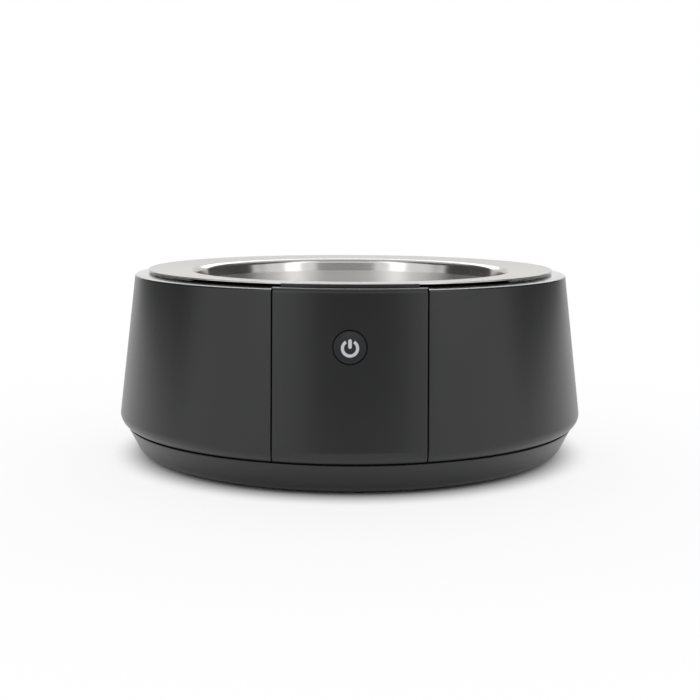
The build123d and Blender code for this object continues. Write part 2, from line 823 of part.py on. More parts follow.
# Two screws from above through the cradle into the bar's free end
with BuildPart() as platform_screws:
    with BuildSketch(Plane.XY.offset(screw_seat)):
        with Locations((-cell_hole_near, 0), (-cell_hole_far, 0)):
            Circle(cell_screw_head)
    extrude(amount=cell_screw_head_height)
    with BuildSketch(Plane.XY.offset(screw_seat)):
        with Locations((-cell_hole_near, 0), (-cell_hole_far, 0)):
            Circle(cell_screw_radius)
    extrude(amount=cell_top - cell_screw_bite - screw_seat)
    with BuildSketch(Plane.XY.offset(screw_seat + cell_screw_head_height)):
        with Locations((-cell_hole_near, 0), (-cell_hole_far, 0)):
            RegularPolygon(cell_screw_radius, 6)
    extrude(amount=-cell_screw_head_height / 2, mode=Mode.SUBTRACT)

# Soft ring between the cradle and the collar, which keeps spills off the electronics
seal_low = collar_bottom - splash_seal_wall
seal_high = collar_bottom - splash_seal_clear
with BuildPart() as splash_seal:
    revolve(
        section(
            [
                (basin_wall_radius(seal_low, cradle_out) + splash_seal_clear, seal_low),
                (shell_inside[-1][0], seal_low),
                (shell_inside[-1][0], seal_high),
                (basin_wall_radius(collar_bottom, cradle_out) + splash_seal_clear, seal_high),
            ]
        ),
        axis=Axis.Z,
    )

# Batteries side by side, turned end for end, with their metal ends
battery_ys = [first_battery + n * battery_spacing for n in range(battery_count)]
with BuildPart() as batteries:
    for n, y in enumerate(battery_ys):
        facing = 1 if n % 2 == 0 else -1
        with BuildSketch(Plane.YZ.offset(-facing * cell_aaa_length / 2 + facing * edge_round)):
            with Locations((y, battery_middle)):
                Circle(cell_aaa_radius)
        extrude(amount=facing * (cell_aaa_length - cap_length - 2 * edge_round))

with BuildPart() as battery_ends:
    for n, y in enumerate(battery_ys):
        facing = 1 if n % 2 == 0 else -1
        with BuildSketch(Plane.YZ.offset(-facing * cell_aaa_length / 2)):
            with Locations((y, battery_middle)):
                Circle(cell_aaa_radius - edge_round)
        extrude(amount=facing * edge_round)
        with BuildSketch(Plane.YZ.offset(facing * (cell_aaa_length / 2 - cap_length - edge_round))):
            with Locations((y, battery_middle)):
                Circle(cell_aaa_radius - edge_round)
        extrude(amount=facing * edge_round)
        with BuildSketch(Plane.YZ.offset(facing * (cell_aaa_length / 2 - cap_length))):
            with Locations((y, battery_middle)):
                Circle(cap_radius)
        extrude(amount=facing * cap_length)

# Sprung metal contacts on the box's end walls
with BuildPart() as battery_contacts:
    for side in (-1, 1):
        for y in battery_ys:
            with BuildSketch(Plane.YZ.offset(side * box_half)):
                with Locations((y, battery_middle)):
                    RectangleRounded(contact_size, contact_size, edge_round)
            extrude(amount=-side * contact_wall)
            with BuildSketch(Plane.YZ.offset(side * (box_half - contact_wall))):
                with Locations((y, battery_middle)):
                    Circle(contact_dome)
            extrude(amount=-side * (box_half - contact_wall - cell_aaa_length / 2), taper=12)

# Battery door in the underside: plate, knuckle with two pins, spring tongue and finger notch
door_half = box_half - door_gap
door_start = box_start + door_gap
with BuildPart() as battery_door:
    with BuildSketch(Plane.XY.offset(tray_bottom)):
        with Locations((0, (door_start + hinge_y) / 2)):
            Rectangle(2 * door_half, hinge_y - door_start)
    extrude(amount=door_wall)
    with BuildSketch(Plane.YZ.offset(-door_half)):
        with Locations((hinge_y, hinge_z)):
            Circle(door_knuckle)
    extrude(amount=2 * door_half)
    with BuildSketch(Plane.YZ.offset(-box_half - door_pin_length)):
        with Locations((hinge_y, hinge_z)):
            Circle(door_pin_radius)
    extrude(amount=2 * (box_half + door_pin_length))
    tongue_y = door_start + door_tongue_inset + door_tongue_wall / 2
    with BuildSketch(Plane.XY.offset(tray_bottom)):
        with Locations((0, tongue_y)):
            Rectangle(door_tongue_width, door_tongue_wall)
    extrude(amount=door_wall + door_tongue_height)
    with BuildSketch(Plane.XY.offset(tray_bottom)):
        with Locations((0, door_start + door_notch)):
            SlotOverall(2 * door_tongue_width, door_notch / 2)
    extrude(amount=door_wall / 2, mode=Mode.SUBTRACT)


def cable(points, radius):
    """Round tube along straight runs joined by tangent arcs, each as large as its two runs allow."""
    route = [Vector(*point) for point in points]
    runs = [second - first for first, second in zip(route, route[1:])]
    radii = []
    for before, after in zip(runs, runs[1:]):
        turn = radians(before.get_angle(after))
        radii.append(0.45 * min(before.length, after.length) / tan(turn / 2))
    print("cable arcs", [round(r, 1) for r in radii])
    with BuildPart() as tube:
        with BuildLine() as path:
            FilletPolyline(*route, radius=radii)
        with BuildSketch(Plane(origin=path.line @ 0, z_dir=path.line % 0)):
            Circle(radius)
        sweep(path=path.line)
    return tube


def below_socket(side, offset, drop=0.0):
    """Point under one of the board's sockets, a drop below its underside along the board."""
    across = side * socket_spread + offset
    level = socket_middle - socket_tall / 2 - drop
    place = front().from_local_coords(Vector(across, level, -board_back - socket_depth / 2))
    return (place.X, place.Y, place.Z)


def between(first, last, share, level):
    """Point over the straight way between two points, at a height of its own."""
    return (first[0] + share * (last[0] - first[0]), first[1] + share * (last[1] - first[1]), level)


cable_floor = tray_bottom + tray_wall + 2 * load_cable_radius
cable_fall = below_socket(-1, 0, cable_drop)
cable_end = (-cell_hole_near - cable_end_inset, -cell_width / 2, cell_bottom + cell_width / 2)
cable_turn = (cable_end[0], cable_end[1] - cable_approach, cable_end[2])
load_cell_cable = cable(
    [
        below_socket(-1, 0),
        cable_fall,
        between(cable_fall, cable_turn, 0.17, cable_floor + load_cable_lift),
        between(cable_fall, cable_turn, 0.45, cable_floor),
        between(cable_fall, cable_turn, 0.75, cable_floor + load_cable_lift),
        cable_turn,
        cable_end,
    ],
    load_cable_radius,
)


def battery_wire(offset, exit_level):
    """Wire from the right socket over the tray's floor, round the load cell, to the box's end wall."""
    wire_floor = tray_bottom + tray_wall + 3 * wire_radius
    wire_fall = below_socket(1, offset, cable_drop)
    side_x = cell_length / 2 + wire_berth + offset
    bend_start = (side_x, -cell_width / 2 - wire_bend_start, wire_floor)
    bend_end = (box_half + box_wall + wire_approach, wire_exit_y, exit_level)
    return cable(
        [
            below_socket(1, offset),
            wire_fall,
            between(wire_fall, bend_start, 0.17, wire_floor + wire_lift),
            between(wire_fall, bend_start, 0.55, wire_floor),
            bend_start,
            (side_x, -cell_width / 2, wire_floor + wire_lift),
            (side_x - wire_radius, cell_width, (wire_floor + exit_level) / 2),
            bend_end,
            (box_half, wire_exit_y, exit_level),
        ],
        wire_radius,
    )


battery_wire_red = battery_wire(wire_spread, wire_exit_levels[0])
battery_wire_black = battery_wire(-wire_spread, wire_exit_levels[1])

pieces = {
    "steel_bowl": steel_bowl,
    "housing_shell": housing_shell,
    "front_panel": front_panel,
    "power_button": power_button,
    "button_icon": button_icon,
    "power_switch": power_switch,
    "switch_plunger": switch_plunger,
    "main_board": main_board,
    "board_screws": board_screws,
    "board_chips": board_chips,
    "cable_sockets": cable_sockets,
    "buzzer": buzzer,
    "display_module": display_module,
    "base_tray": base_tray,
    "tray_seal": tray_seal,
    "rubber_feet": rubber_feet,
    "tray_screws": tray_screws,
    "load_cell": load_cell,
    "gauge_covers": gauge_covers,
    "load_cell_screws": load_cell_screws,
    "weighing_platform": weighing_platform,
    "platform_pads": platform_pads,
    "platform_screws": platform_screws,
    "splash_seal": splash_seal,
    "batteries": batteries,
    "battery_ends": battery_ends,
    "battery_contacts": battery_contacts,
    "battery_door": battery_door,
    "load_cell_cable": load_cell_cable,
    "battery_wire_red": battery_wire_red,
    "battery_wire_black": battery_wire_black,
}

os.makedirs("parts", exist_ok=True)
for name, piece in pieces.items():
    piece.part.label = name
    export_step(piece.part, f"parts/{name}.step")
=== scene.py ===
import json
import math

import bmesh
import bpy
from mathutils import Matrix, Vector


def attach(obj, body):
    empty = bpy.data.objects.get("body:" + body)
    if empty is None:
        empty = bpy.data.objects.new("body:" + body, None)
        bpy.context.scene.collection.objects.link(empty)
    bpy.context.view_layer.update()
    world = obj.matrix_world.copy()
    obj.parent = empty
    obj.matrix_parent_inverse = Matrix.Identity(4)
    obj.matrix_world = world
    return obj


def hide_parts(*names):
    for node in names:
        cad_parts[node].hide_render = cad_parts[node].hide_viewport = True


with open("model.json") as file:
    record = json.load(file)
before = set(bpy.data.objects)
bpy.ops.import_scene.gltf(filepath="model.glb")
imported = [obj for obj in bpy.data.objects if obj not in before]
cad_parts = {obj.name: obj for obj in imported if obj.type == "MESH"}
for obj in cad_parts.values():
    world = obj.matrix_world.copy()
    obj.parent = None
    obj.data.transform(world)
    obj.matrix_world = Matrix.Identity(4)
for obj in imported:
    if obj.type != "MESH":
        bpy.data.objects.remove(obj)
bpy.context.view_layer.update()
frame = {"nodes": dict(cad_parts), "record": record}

mm = 0.001
lean = math.radians(7.0)  # how far the housing's wall leans in
print("frame loaded")

# Camera where the photograph was taken from, level but for a quarter of a degree
camera = {"place": (0.0, -0.57183, 0.12359), "down": 0.1368, "roll": 0.0041, "lens": 64.13}

cameraData = bpy.data.cameras.new("camera")
cameraData.lens = camera["lens"]
cameraData.sensor_width = 36.0
cameraData.clip_start = 0.01
cameraObject = bpy.data.objects.new("camera", cameraData)
bpy.context.scene.collection.objects.link(cameraObject)
cameraTurn = Matrix.Rotation(math.pi / 2 - camera["down"], 4, "X") @ Matrix.Rotation(camera["roll"], 4, "Z")
cameraObject.matrix_world = Matrix.Translation(camera["place"]) @ cameraTurn
bpy.context.scene.camera = cameraObject
bpy.context.scene.view_settings.view_transform = "Standard"
print("camera placed")


def deselectAll():
    if bpy.context.object and bpy.context.object.mode != "OBJECT":
        bpy.ops.object.mode_set(mode="OBJECT")
    bpy.ops.object.select_all(action="DESELECT")


def startEditing(piece):
    deselectAll()
    piece.select_set(True)
    bpy.context.view_layer.objects.active = piece
    bpy.ops.object.mode_set(mode="EDIT")
    bpy.ops.mesh.select_mode(type="VERT")


def stopEditing():
    bpy.ops.object.mode_set(mode="OBJECT")


def pick(kind, wanted):
    # selects the corners, edges or faces of the piece being edited that pass a test
    bpy.ops.mesh.select_mode(type=kind)
    bpy.ops.mesh.select_all(action="DESELECT")
    shape = bmesh.from_edit_mesh(bpy.context.object.data)
    parts = {"VERT": shape.verts, "EDGE": shape.edges, "FACE": shape.faces}[kind]
    found = [part for part in parts if wanted(part)]
    for part in found:
        part.select_set(True)
    shape.select_flush_mode()
    bmesh.update_edit_mesh(bpy.context.object.data)
    return len(found)


def applied(piece, kind, **values):
    deselectAll()
    piece.select_set(True)
    bpy.context.view_layer.objects.active = piece
    added = piece.modifiers.new(kind.lower(), kind)
    for name, value in values.items():
        setattr(added, name, value)
    bpy.ops.object.modifier_apply(modifier=added.name)


def smoothed(piece, degrees=32.0):
    # smooth shading that keeps the crisp edges, with the large faces setting the normals
    deselectAll()
    piece.select_set(True)
    bpy.context.view_layer.objects.active = piece
    bpy.ops.object.shade_smooth_by_angle(angle=math.radians(degrees))
    applied(piece, "WEIGHTED_NORMAL", mode="FACE_AREA", weight=80, keep_sharp=True)


def closedUp(piece, gap=0.004):
    startEditing(piece)
    bpy.ops.mesh.select_all(action="SELECT")
    bpy.ops.mesh.remove_doubles(threshold=gap * mm)
    bpy.ops.mesh.normals_make_consistent(inside=False)
    stopEditing()


def drawSection(name, corners, rounds, closed, azimuth=0.0):
    # a run of (radius, height) corners in millimetres, drawn as edges, with some corners rounded
    turned = [Vector((r * math.cos(azimuth), r * math.sin(azimuth), h)) * mm for r, h in corners]
    deselectAll()
    bpy.ops.mesh.primitive_plane_add(size=2 * mm, location=(0, 0, 0))
    piece = bpy.context.object
    piece.name = name
    startEditing(piece)
    bpy.ops.mesh.select_all(action="SELECT")
    bpy.ops.mesh.merge(type="CENTER")
    bpy.ops.transform.translate(value=turned[0])
    walk = turned + [turned[0]] if closed else turned
    for here, there in zip(walk, walk[1:]):
        bpy.ops.mesh.extrude_vertices_move(TRANSFORM_OT_translate={"value": there - here})
    bpy.ops.mesh.select_all(action="SELECT")
    bpy.ops.mesh.remove_doubles(threshold=0.001 * mm)
    for number, (radius, segments) in rounds.items():
        before, corner, after = (turned[(number + step) % len(turned)] for step in (-1, 0, 1))
        turn = (corner - before).angle(after - corner)
        pick("VERT", lambda vert: (vert.co - corner).length < 0.002 * mm)
        reach = radius * mm * math.tan(turn / 2)
        bpy.ops.mesh.bevel(offset=reach, segments=segments, affect="VERTICES", clamp_overlap=False)
    return piece


def spun(piece, angle, steps):
    # turns the section being edited round the upright axis, anticlockwise because the axis points down
    bpy.ops.mesh.select_all(action="SELECT")
    bpy.ops.mesh.spin(steps=steps, angle=angle, center=(0, 0, 0), axis=(0, 0, -1))
    stopEditing()
    closedUp(piece)
    return piece


def cutBy(piece, cutter, operation="DIFFERENCE"):
    applied(piece, "BOOLEAN", object=cutter, operation=operation, solver="EXACT")
    bpy.data.objects.remove(cutter)


def crossing(first, second):
    (ax, ay), (bx, by) = first
    (cx, cy), (dx, dy) = second
    turn = (bx - ax) * (dy - cy) - (by - ay) * (dx - cx)
    share = ((cx - ax) * (dy - cy) - (cy - ay) * (dx - cx)) / turn
    return (ax + share * (bx - ax), ay + share * (by - ay))


def beside(run, distance):
    # the same run of corners moved to its left, which gives a wall its other face
    moved = []
    for (ax, ay), (bx, by) in zip(run, run[1:]):
        length = math.hypot(bx - ax, by - ay)
        side = (-(by - ay) / length * distance, (bx - ax) / length * distance)
        moved.append(((ax + side[0], ay + side[1]), (bx + side[0], by + side[1])))
    return [moved[0][0]] + [crossing(a, b) for a, b in zip(moved, moved[1:])] + [moved[-1][1]]


def shown(piece, body, node):
    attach(piece, body)
    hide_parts(node)
    return piece


def smoothCopy(node, body, degrees=32.0):
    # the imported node's own shape, merged and shaded smooth
    source = frame["nodes"][node]
    piece = bpy.data.objects.new(node + "Smooth", source.data.copy())
    bpy.context.scene.collection.objects.link(piece)
    piece.data.materials.clear()
    closedUp(piece, 0.0005)
    smoothed(piece, degrees)
    return shown(piece, body, node)


# Steel bowl: one run from the rim to the middle of the floor, spun, then given its sheet thickness
bowl = {"rim": (91.331, 83.3), "lip": (71.0, 82.412), "wallFoot": (61.591, 34.0), "floor": 34.0,
        "lipRound": 2.5, "footRound": 14.0, "sheet": 0.8, "rimRound": 0.3, "steps": 288}

bowlPiece = drawSection("bowlShell", [bowl["rim"], bowl["lip"], bowl["wallFoot"], (0.0, bowl["floor"])],
                        {1: (bowl["lipRound"], 12), 2: (bowl["footRound"], 18)}, closed=False)
spun(bowlPiece, math.tau, bowl["steps"])
startEditing(bowlPiece)
bpy.ops.mesh.select_all(action="SELECT")
shape = bmesh.from_edit_mesh(bowlPiece.data)
if sum(face.normal.z * face.calc_area() for face in shape.faces) < 0:
    bpy.ops.mesh.flip_normals()
stopEditing()
applied(bowlPiece, "SOLIDIFY", thickness=bowl["sheet"] * mm, offset=-1.0, use_even_offset=True)
startEditing(bowlPiece)
rimReach = bowl["rim"][0] * mm - 0.06 * mm
pick("EDGE", lambda edge: all(math.hypot(v.co.x, v.co.y) > rimReach for v in edge.verts)
     and abs(edge.verts[0].co.z - edge.verts[1].co.z) < 0.02 * mm)
bpy.ops.mesh.bevel(offset=bowl["rimRound"] * mm, segments=3, affect="EDGES")
stopEditing()
smoothed(bowlPiece, 40.0)
shown(bowlPiece, "bowl", "steel_bowl")
print("bowl made", len(bowlPiece.data.polygons))

# Housing: bottom edge, sloping wall, top ring and collar, with the panel's slot cut out of it
housing = {"seatRadius": 97.25, "bottom": 14.3, "seamRadius": 102.0, "corner": (105.2, 16.1),
           "cornerRound": 4.9, "top": 81.0, "topRound": 0.9, "crest": (91.431, 81.75),
           "collarTop": (77.2, 80.45), "collarRound": 2.0, "collarFoot": (68.609, 40.1),
           "wall": 2.4, "steps": 288, "slotHalf": 30.5, "slotEdge": 0.3,
           "cutLow": 10.0, "cutHigh": 90.0, "cutOut": 115.0}


def wallRadius(height):
    return housing["corner"][0] - (height - housing["corner"][1]) * math.tan(lean)


def sideEdges(half, edge):
    # edges of a cut that lies in an upright plane, where two faces meet at a clear angle
    across = abs(edge.verts[0].co.x), abs(edge.verts[1].co.x)
    inPlane = max(abs(x - half * mm) for x in across) < 0.004 * mm
    return inPlane and edge.is_manifold and edge.calc_face_angle() > 0.7


def partRing(name, corners, rounds, half, steps=96, reach=26.0, sideRound=0.2):
    # a ring section spun across the front only and trimmed by two upright planes
    begin = math.radians(-90.0 - reach)
    piece = drawSection(name, corners, rounds, closed=True, azimuth=begin)
    spun(piece, math.radians(2 * reach), steps)
    startEditing(piece)
    for side in (-1, 1):
        bpy.ops.mesh.select_all(action="SELECT")
        bpy.ops.mesh.bisect(plane_co=(side * half * mm, 0, 0), plane_no=(side, 0, 0),
                            use_fill=True, clear_outer=True)
    stopEditing()
    closedUp(piece)
    if sideRound:
        startEditing(piece)
        pick("EDGE", lambda edge: sideEdges(half, edge))
        bpy.ops.mesh.bevel(offset=sideRound * mm, segments=3, affect="EDGES")
        stopEditing()
    return piece


outsideRun = [(housing["seatRadius"], housing["bottom"]), (housing["seamRadius"], housing["bottom"]),
              housing["corner"], (wallRadius(housing["top"]), housing["top"]), housing["crest"],
              housing["collarTop"], housing["collarFoot"]]
insideRun = beside(outsideRun, housing["wall"])
footLevel = ((0.0, housing["collarFoot"][1]), (100.0, housing["collarFoot"][1]))
insideRun[-1] = crossing(insideRun[-2:], footLevel)
housingPiece = drawSection("housingShell", outsideRun + insideRun[::-1],
                           {2: (housing["cornerRound"], 8), 3: (housing["topRound"], 5),
                            5: (housing["collarRound"], 8)}, closed=True)
spun(housingPiece, math.tau, housing["steps"])
slotCorners = [(housing["crest"][0], housing["cutLow"]), (housing["cutOut"], housing["cutLow"]),
               (housing["cutOut"], housing["cutHigh"]), (housing["crest"][0], housing["cutHigh"])]
slotCutter = partRing("slotCutter", slotCorners, {}, housing["slotHalf"], sideRound=0.0)
cutBy(housingPiece, slotCutter)
startEditing(housingPiece)
slotBack = housing["crest"][0] * mm + 0.5 * mm
pick("EDGE", lambda edge: sideEdges(housing["slotHalf"], edge)
     and min(math.hypot(vert.co.x, vert.co.y) for vert in edge.verts) > slotBack)
bpy.ops.mesh.bevel(offset=housing["slotEdge"] * mm, segments=2, affect="EDGES")
stopEditing()
smoothed(housingPiece)
shown(housingPiece, "housing", "housing_shell")
print("housing made", len(housingPiece.data.polygons))

# Front panel: the wall's section over the slot's width, with a rounded top, the lip and the button's hole
panel = {"half": 30.1, "top": 81.75, "topRound": 2.2, "lipBack": 91.831, "lipFront": 93.031,
         "lipTop": 83.15, "lipHalf": 27.0, "lipRound": 0.3, "wall": 2.4, "sideRound": 0.3}
button = {"height": 59.6, "radius": 6.33, "hole": 6.83, "recess": 0.5, "dish": 0.3, "rim": 0.6, "edge": 0.25,
          "plateRadius": 7.9, "plateFront": 3.0, "plateBack": 4.0}
buttonMiddle = Vector((0.0, -wallRadius(button["height"]), button["height"])) * mm


def faceFront(piece):
    # turns what is modelled upright at the origin to look out of the panel, its top at the surface
    startEditing(piece)
    bpy.ops.mesh.select_all(action="SELECT")
    shape = bmesh.from_edit_mesh(piece.data)
    turn = Matrix.Translation(buttonMiddle) @ Matrix.Rotation(math.pi / 2 - lean, 4, "X")
    bmesh.ops.transform(shape, matrix=turn, verts=shape.verts)
    bmesh.update_edit_mesh(piece.data)
    stopEditing()
    return piece


panelOutside = [outsideRun[0], outsideRun[1], outsideRun[2], (wallRadius(panel["top"]), panel["top"]),
                (panel["lipBack"], panel["top"])]
panelInside = beside(panelOutside, panel["wall"])
panelPiece = partRing("frontPanel", panelOutside + panelInside[::-1],
                      {2: (housing["cornerRound"], 8), 3: (panel["topRound"], 8)}, panel["half"],
                      sideRound=panel["sideRound"])
lipCorners = [(panel["lipBack"], panel["top"] - 1.0), (panel["lipFront"], panel["top"] - 1.0),
              (panel["lipFront"], panel["lipTop"]), (panel["lipBack"], panel["lipTop"])]
lipPiece = partRing("panelLip", lipCorners,
                    {2: (panel["lipRound"], 3), 3: (panel["lipRound"], 3)}, panel["lipHalf"])
deselectAll()
bpy.ops.mesh.primitive_cylinder_add(vertices=128, radius=button["hole"] * mm, depth=20 * mm,
                                    location=(0, 0, 0))
holeCutter = faceFront(bpy.context.object)
cutBy(panelPiece, holeCutter)
smoothed(panelPiece)
smoothed(lipPiece)
deselectAll()
lipPiece.select_set(True)
panelPiece.select_set(True)
bpy.context.view_layer.objects.active = panelPiece
bpy.ops.object.join()
shown(panelPiece, "housing", "front_panel")
print("panel made", len(panelPiece.data.polygons))

# Power button: a dished cap with a fine bevelled rim and a collar behind the panel
dishSphere = ((button["radius"] - button["rim"]) ** 2 + button["dish"] ** 2) / (2 * button["dish"])
dishRun = []
for share in range(0, 9):
    across = (button["radius"] - button["rim"]) * share / 8
    rise = dishSphere - math.sqrt(dishSphere ** 2 - across ** 2)
    dishRun.append((across, -button["recess"] - button["dish"] + rise))
capRun = dishRun + [(button["radius"], -button["recess"]), (button["radius"], -button["plateFront"]),
                    (button["plateRadius"], -button["plateFront"]),
                    (button["plateRadius"], -button["plateBack"]), (0.0, -button["plateBack"])]
buttonPiece = drawSection("powerCap", capRun, {8: (0.8, 4), 9: (button["edge"], 4)}, closed=False)
spun(buttonPiece, math.tau, 128)
faceFront(buttonPiece)
smoothed(buttonPiece)
shown(buttonPiece, "button", "power_button")
print("button made")

# Power symbol: a ring open at the top and an upright bar with round ends
icon = {"radius": 3.5, "stroke": 1.2, "drop": 0.4, "gap": 32.0, "barWidth": 1.4, "barLow": -0.55,
        "barHigh": 3.1, "top": -0.65, "bottom": -1.1}


def iconRing():
    # a small upright rectangle swept round the middle, leaving the gap at the top
    begin = math.radians(90.0 + icon["gap"])
    middle = (icon["radius"] - icon["stroke"] / 2)
    deselectAll()
    bpy.ops.mesh.primitive_plane_add(size=1.0, location=(0, 0, 0))
    ring = bpy.context.object
    ring.name = "powerSymbol"
    startEditing(ring)
    shape = bmesh.from_edit_mesh(ring.data)
    tall = icon["top"] - icon["bottom"]
    for vert in shape.verts:
        r = (middle + vert.co.x * icon["stroke"]) * mm
        level = ((icon["top"] + icon["bottom"]) / 2 + vert.co.y * tall) * mm
        vert.co = Vector((r * math.cos(begin), r * math.sin(begin), level))
    bmesh.update_edit_mesh(ring.data)
    bpy.ops.mesh.select_all(action="SELECT")
    sweep = math.radians(360.0 - 2 * icon["gap"])
    bpy.ops.mesh.spin(steps=72, angle=sweep, center=(0, 0, 0), axis=(0, 0, -1))
    bpy.ops.mesh.select_all(action="SELECT")
    bpy.ops.transform.translate(value=Vector((0, -icon["drop"], 0)) * mm)
    stopEditing()
    closedUp(ring)
    return ring


iconPiece = iconRing()
deselectAll()
bpy.ops.mesh.primitive_cube_add(size=1.0, location=(0, 0, 0))
barPiece = bpy.context.object
startEditing(barPiece)
bpy.ops.mesh.select_all(action="SELECT")
barSize = (icon["barWidth"] * mm, (icon["barHigh"] - icon["barLow"]) * mm,
           (icon["top"] - icon["bottom"]) * mm)
bpy.ops.transform.resize(value=barSize)
barMiddle = Vector((0, (icon["barHigh"] + icon["barLow"]) / 2, (icon["top"] + icon["bottom"]) / 2)) * mm
bpy.ops.transform.translate(value=barMiddle)
pick("EDGE", lambda edge: abs(edge.verts[0].co.z - edge.verts[1].co.z) > 0.1 * mm)
bpy.ops.mesh.bevel(offset=icon["barWidth"] / 2 * mm * 0.999, segments=10, affect="EDGES")
stopEditing()
closedUp(barPiece)
deselectAll()
barPiece.select_set(True)
iconPiece.select_set(True)
bpy.context.view_layer.objects.active = iconPiece
bpy.ops.object.join()
faceFront(iconPiece)
smoothed(iconPiece)
shown(iconPiece, "button", "button_icon")
print("symbol made")

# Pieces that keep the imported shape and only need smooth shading
bodies = frame["record"]["behaviour"]["bodies"]
bodyOf = {node: body for body, nodes in bodies.items() for node in nodes}
slotOf = {"base_tray": "housing_plastic", "tray_seal": "dark_rubber", "rubber_feet": "dark_rubber",
          "weighing_platform": "inner_plastic", "platform_pads": "soft_silicone",
          "splash_seal": "dark_rubber"}
smoothPieces = {}
for node, slot in slotOf.items():
    smoothPieces[node] = smoothCopy(node, bodyOf[node])
print("packed shapes smoothed")


# Finishes. The small groups below are shared and put out only values and normals.
def newGroup(name, inputs, outputs):
    group = bpy.data.node_groups.new(name, "ShaderNodeTree")
    for label, kind, value in inputs:
        socket = group.interface.new_socket(name=label, in_out="INPUT", socket_type=kind)
        if value is not None:
            socket.default_value = value
    for label, kind in outputs:
        group.interface.new_socket(name=label, in_out="OUTPUT", socket_type=kind)
    return group, group.nodes.new("NodeGroupInput"), group.nodes.new("NodeGroupOutput")


def mathNode(tree, operation, first, second=None):
    node = tree.nodes.new("ShaderNodeMath")
    node.operation = operation
    for number, value in enumerate((first, second)):
        if value is None:
            continue
        if isinstance(value, (int, float)):
            node.inputs[number].default_value = value
        else:
            tree.links.new(value, node.inputs[number])
    return node.outputs[0]


def mouldGrainGroup():
    # fine spark-eroded grain: roughness that varies a little and a shallow bump
    group, start, end = newGroup(
        "mouldGrain",
        [("Place", "NodeSocketVector", None), ("Grain", "NodeSocketFloat", 2600.0),
         ("Roughness", "NodeSocketFloat", 0.42), ("Vary", "NodeSocketFloat", 0.05),
         ("Depth", "NodeSocketFloat", 0.1)],
        [("Roughness", "NodeSocketFloat"), ("Normal", "NodeSocketVector"), ("Cloud", "NodeSocketFloat")])
    fine = group.nodes.new("ShaderNodeTexNoise")
    fine.inputs["Detail"].default_value = 3.0
    group.links.new(start.outputs["Place"], fine.inputs["Vector"])
    group.links.new(start.outputs["Grain"], fine.inputs["Scale"])
    broad = group.nodes.new("ShaderNodeTexNoise")
    broad.inputs["Scale"].default_value = 26.0
    broad.inputs["Detail"].default_value = 4.0
    group.links.new(start.outputs["Place"], broad.inputs["Vector"])
    offset = mathNode(group, "SUBTRACT", broad.outputs["Fac"], 0.5)
    spread = mathNode(group, "MULTIPLY", offset, start.outputs["Vary"])
    total = mathNode(group, "ADD", spread, start.outputs["Roughness"])
    group.links.new(total, end.inputs["Roughness"])
    bump = group.nodes.new("ShaderNodeBump")
    bump.inputs["Distance"].default_value = 0.00004
    group.links.new(start.outputs["Depth"], bump.inputs["Strength"])
    group.links.new(fine.outputs["Fac"], bump.inputs["Height"])
    group.links.new(bump.outputs["Normal"], end.inputs["Normal"])
    group.links.new(broad.outputs["Fac"], end.inputs["Cloud"])
    return group


def turnedBrushGroup():
    # fine rings left by the polishing wheel, which run round the upright axis
    group, start, end = newGroup(
        "turnedBrush",
        [("Place", "NodeSocketVector", None), ("Lines", "NodeSocketFloat", 5200.0),
         ("Roughness", "NodeSocketFloat", 0.2), ("Vary", "NodeSocketFloat", 0.08),
         ("Depth", "NodeSocketFloat", 0.15)],
        [("Roughness", "NodeSocketFloat"), ("Normal", "NodeSocketVector"), ("Streak", "NodeSocketFloat")])
    split = group.nodes.new("ShaderNodeSeparateXYZ")
    group.links.new(start.outputs["Place"], split.inputs[0])
    angle = mathNode(group, "ARCTAN2", split.outputs["Y"], split.outputs["X"])
    squareX = mathNode(group, "MULTIPLY", split.outputs["X"], split.outputs["X"])
    squareY = mathNode(group, "MULTIPLY", split.outputs["Y"], split.outputs["Y"])
    radius = mathNode(group, "SQRT", mathNode(group, "ADD", squareX, squareY))
    reach = mathNode(group, "ADD", radius, split.outputs["Z"])
    along = mathNode(group, "MULTIPLY", reach, start.outputs["Lines"])
    joined = group.nodes.new("ShaderNodeCombineXYZ")
    group.links.new(mathNode(group, "MULTIPLY", mathNode(group, "COSINE", angle), 5.0), joined.inputs["X"])
    group.links.new(mathNode(group, "MULTIPLY", mathNode(group, "SINE", angle), 5.0), joined.inputs["Y"])
    group.links.new(along, joined.inputs["Z"])
    streak = group.nodes.new("ShaderNodeTexNoise")
    streak.inputs["Scale"].default_value = 1.0
    streak.inputs["Detail"].default_value = 4.0
    group.links.new(joined.outputs[0], streak.inputs["Vector"])
    offset = mathNode(group, "SUBTRACT", streak.outputs["Fac"], 0.5)
    spread = mathNode(group, "MULTIPLY", offset, start.outputs["Vary"])
    total = mathNode(group, "ADD", spread, start.outputs["Roughness"])
    group.links.new(total, end.inputs["Roughness"])
    bump = group.nodes.new("ShaderNodeBump")
    bump.inputs["Distance"].default_value = 0.00002
    group.links.new(start.outputs["Depth"], bump.inputs["Strength"])
    group.links.new(streak.outputs["Fac"], bump.inputs["Height"])
    group.links.new(bump.outputs["Normal"], end.inputs["Normal"])
    group.links.new(streak.outputs["Fac"], end.inputs["Streak"])
    return group


mouldGrain = mouldGrainGroup()
turnedBrush = turnedBrushGroup()


def newMaterial(name, colour, metallic=0.0, **sockets):
    material = bpy.data.materials.new(name)
    material.use_nodes = True
    shader = material.node_tree.nodes["Principled BSDF"]
    shader.inputs["Base Color"].default_value = (*colour, 1.0)
    shader.inputs["Metallic"].default_value = metallic
    for label, value in sockets.items():
        shader.inputs[label.replace("_", " ")].default_value = value
    place = material.node_tree.nodes.new("ShaderNodeTexCoord")
    return material, material.node_tree, shader, place.outputs["Object"]


